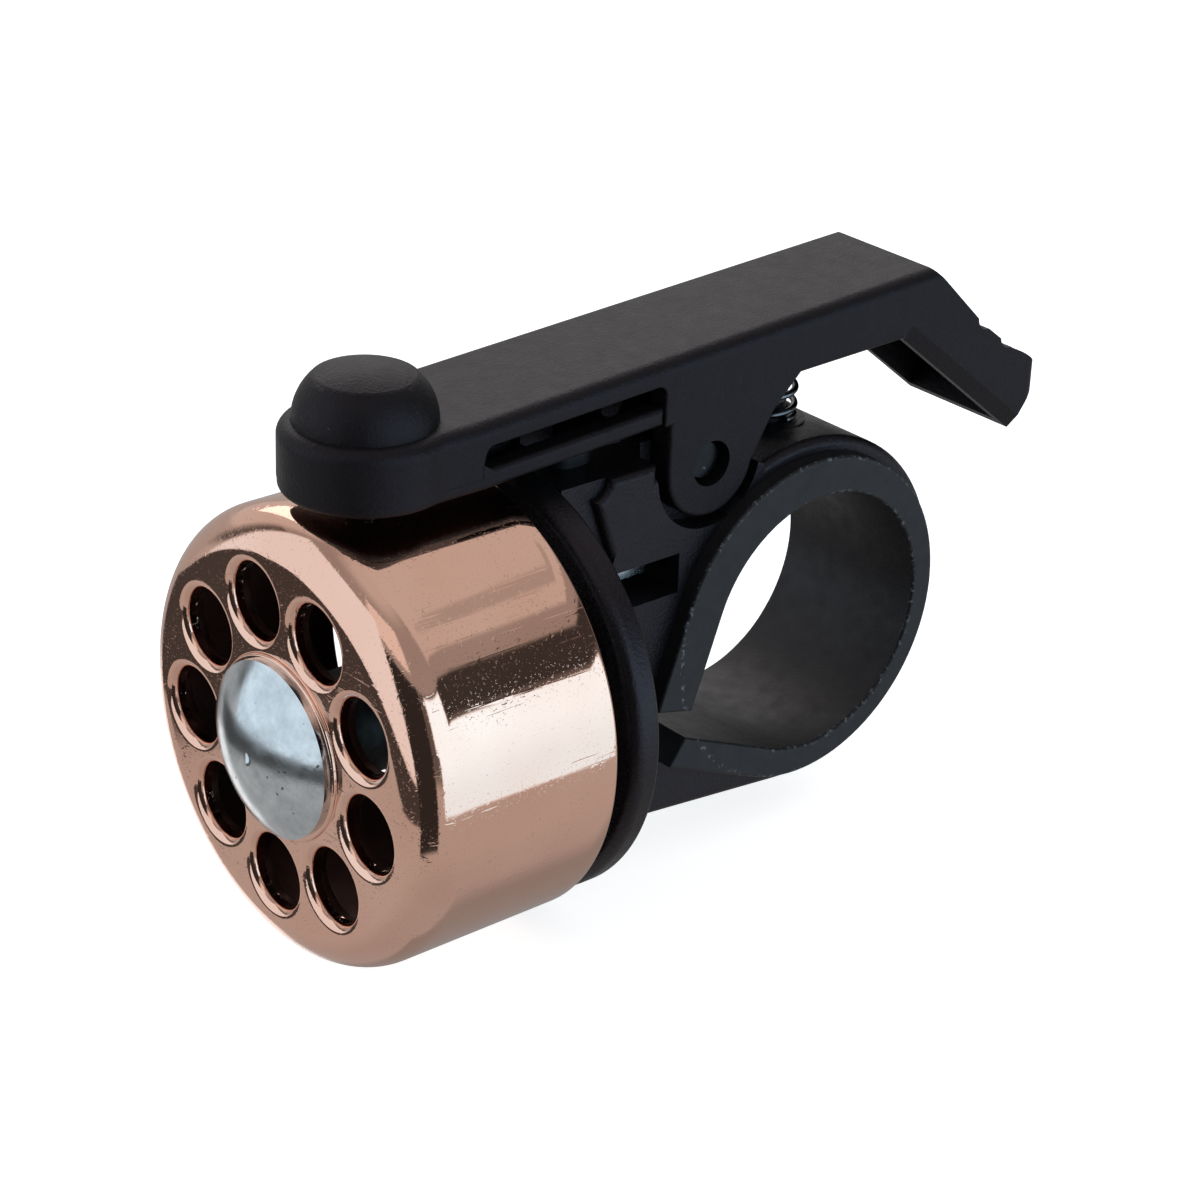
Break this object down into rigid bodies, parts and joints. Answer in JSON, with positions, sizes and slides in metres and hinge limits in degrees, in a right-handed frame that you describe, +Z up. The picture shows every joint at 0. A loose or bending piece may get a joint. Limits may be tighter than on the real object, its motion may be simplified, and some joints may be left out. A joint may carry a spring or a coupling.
{
  "type": "bicycle bell",
  "caption": "Handlebar bell with a perforated copper cup, a rear thumb lever that carries a sprung hammer over the cup, and a rubber-lined strap clamp.",
  "frame": {"origin": "centre of the handlebar bore, midway along the clamp's width", "axes": "+X along the handlebar, +Z up from the bar to the lever, -Y forward along the bell's axis to its perforated face"},
  "size_m": [0.036, 0.077, 0.0464],
  "materials": {
    "copper_plate": "polished rose-copper plating with fine scratches",
    "black_plastic": "satin moulded, fine grain",
    "body_plastic": "satin moulded, smoother in the recesses",
    "black_rubber": "dull with moulding nicks",
    "zinc_steel": "satin bluish zinc",
    "blackened_steel": "oiled black oxide",
    "spring_steel": "dark drawn wire",
    "fibre": "pressed fibre"
  },
  "bodies": {
    "base": {"rubber_liner": "black_rubber", "bracket": "body_plastic", "clamp_screw": "zinc_steel", "clamp_washer": "zinc_steel", "clamp_nut": "zinc_steel", "bell_cup": "copper_plate", "centre_bolt": "zinc_steel", "fibre_washer": "fibre", "spacer_tube": "zinc_steel", "back_plate": "body_plastic", "bolt_nut": "zinc_steel", "lock_washer": "spring_steel", "pivot_pin": "blackened_steel", "return_spring": "spring_steel", "rest_bumper": "black_rubber"},
    "lever": {"lever_shell": "black_plastic", "striker_arm": "black_plastic", "hammer_weight": "zinc_steel", "striker_tip": "zinc_steel", "arm_screw": "zinc_steel"}
  },
  "joints": [
    {"name": "lever_pivot", "type": "hinge", "parent": "base", "child": "lever", "pos_m": [0, -0.0113, 0.01635], "axis": [-1, 0, 0], "range_deg": [0, 12], "stiffness_Nm_per_rad": 0.35, "springref_deg": -8.59, "deforming": ["return_spring"]}
  ]
}
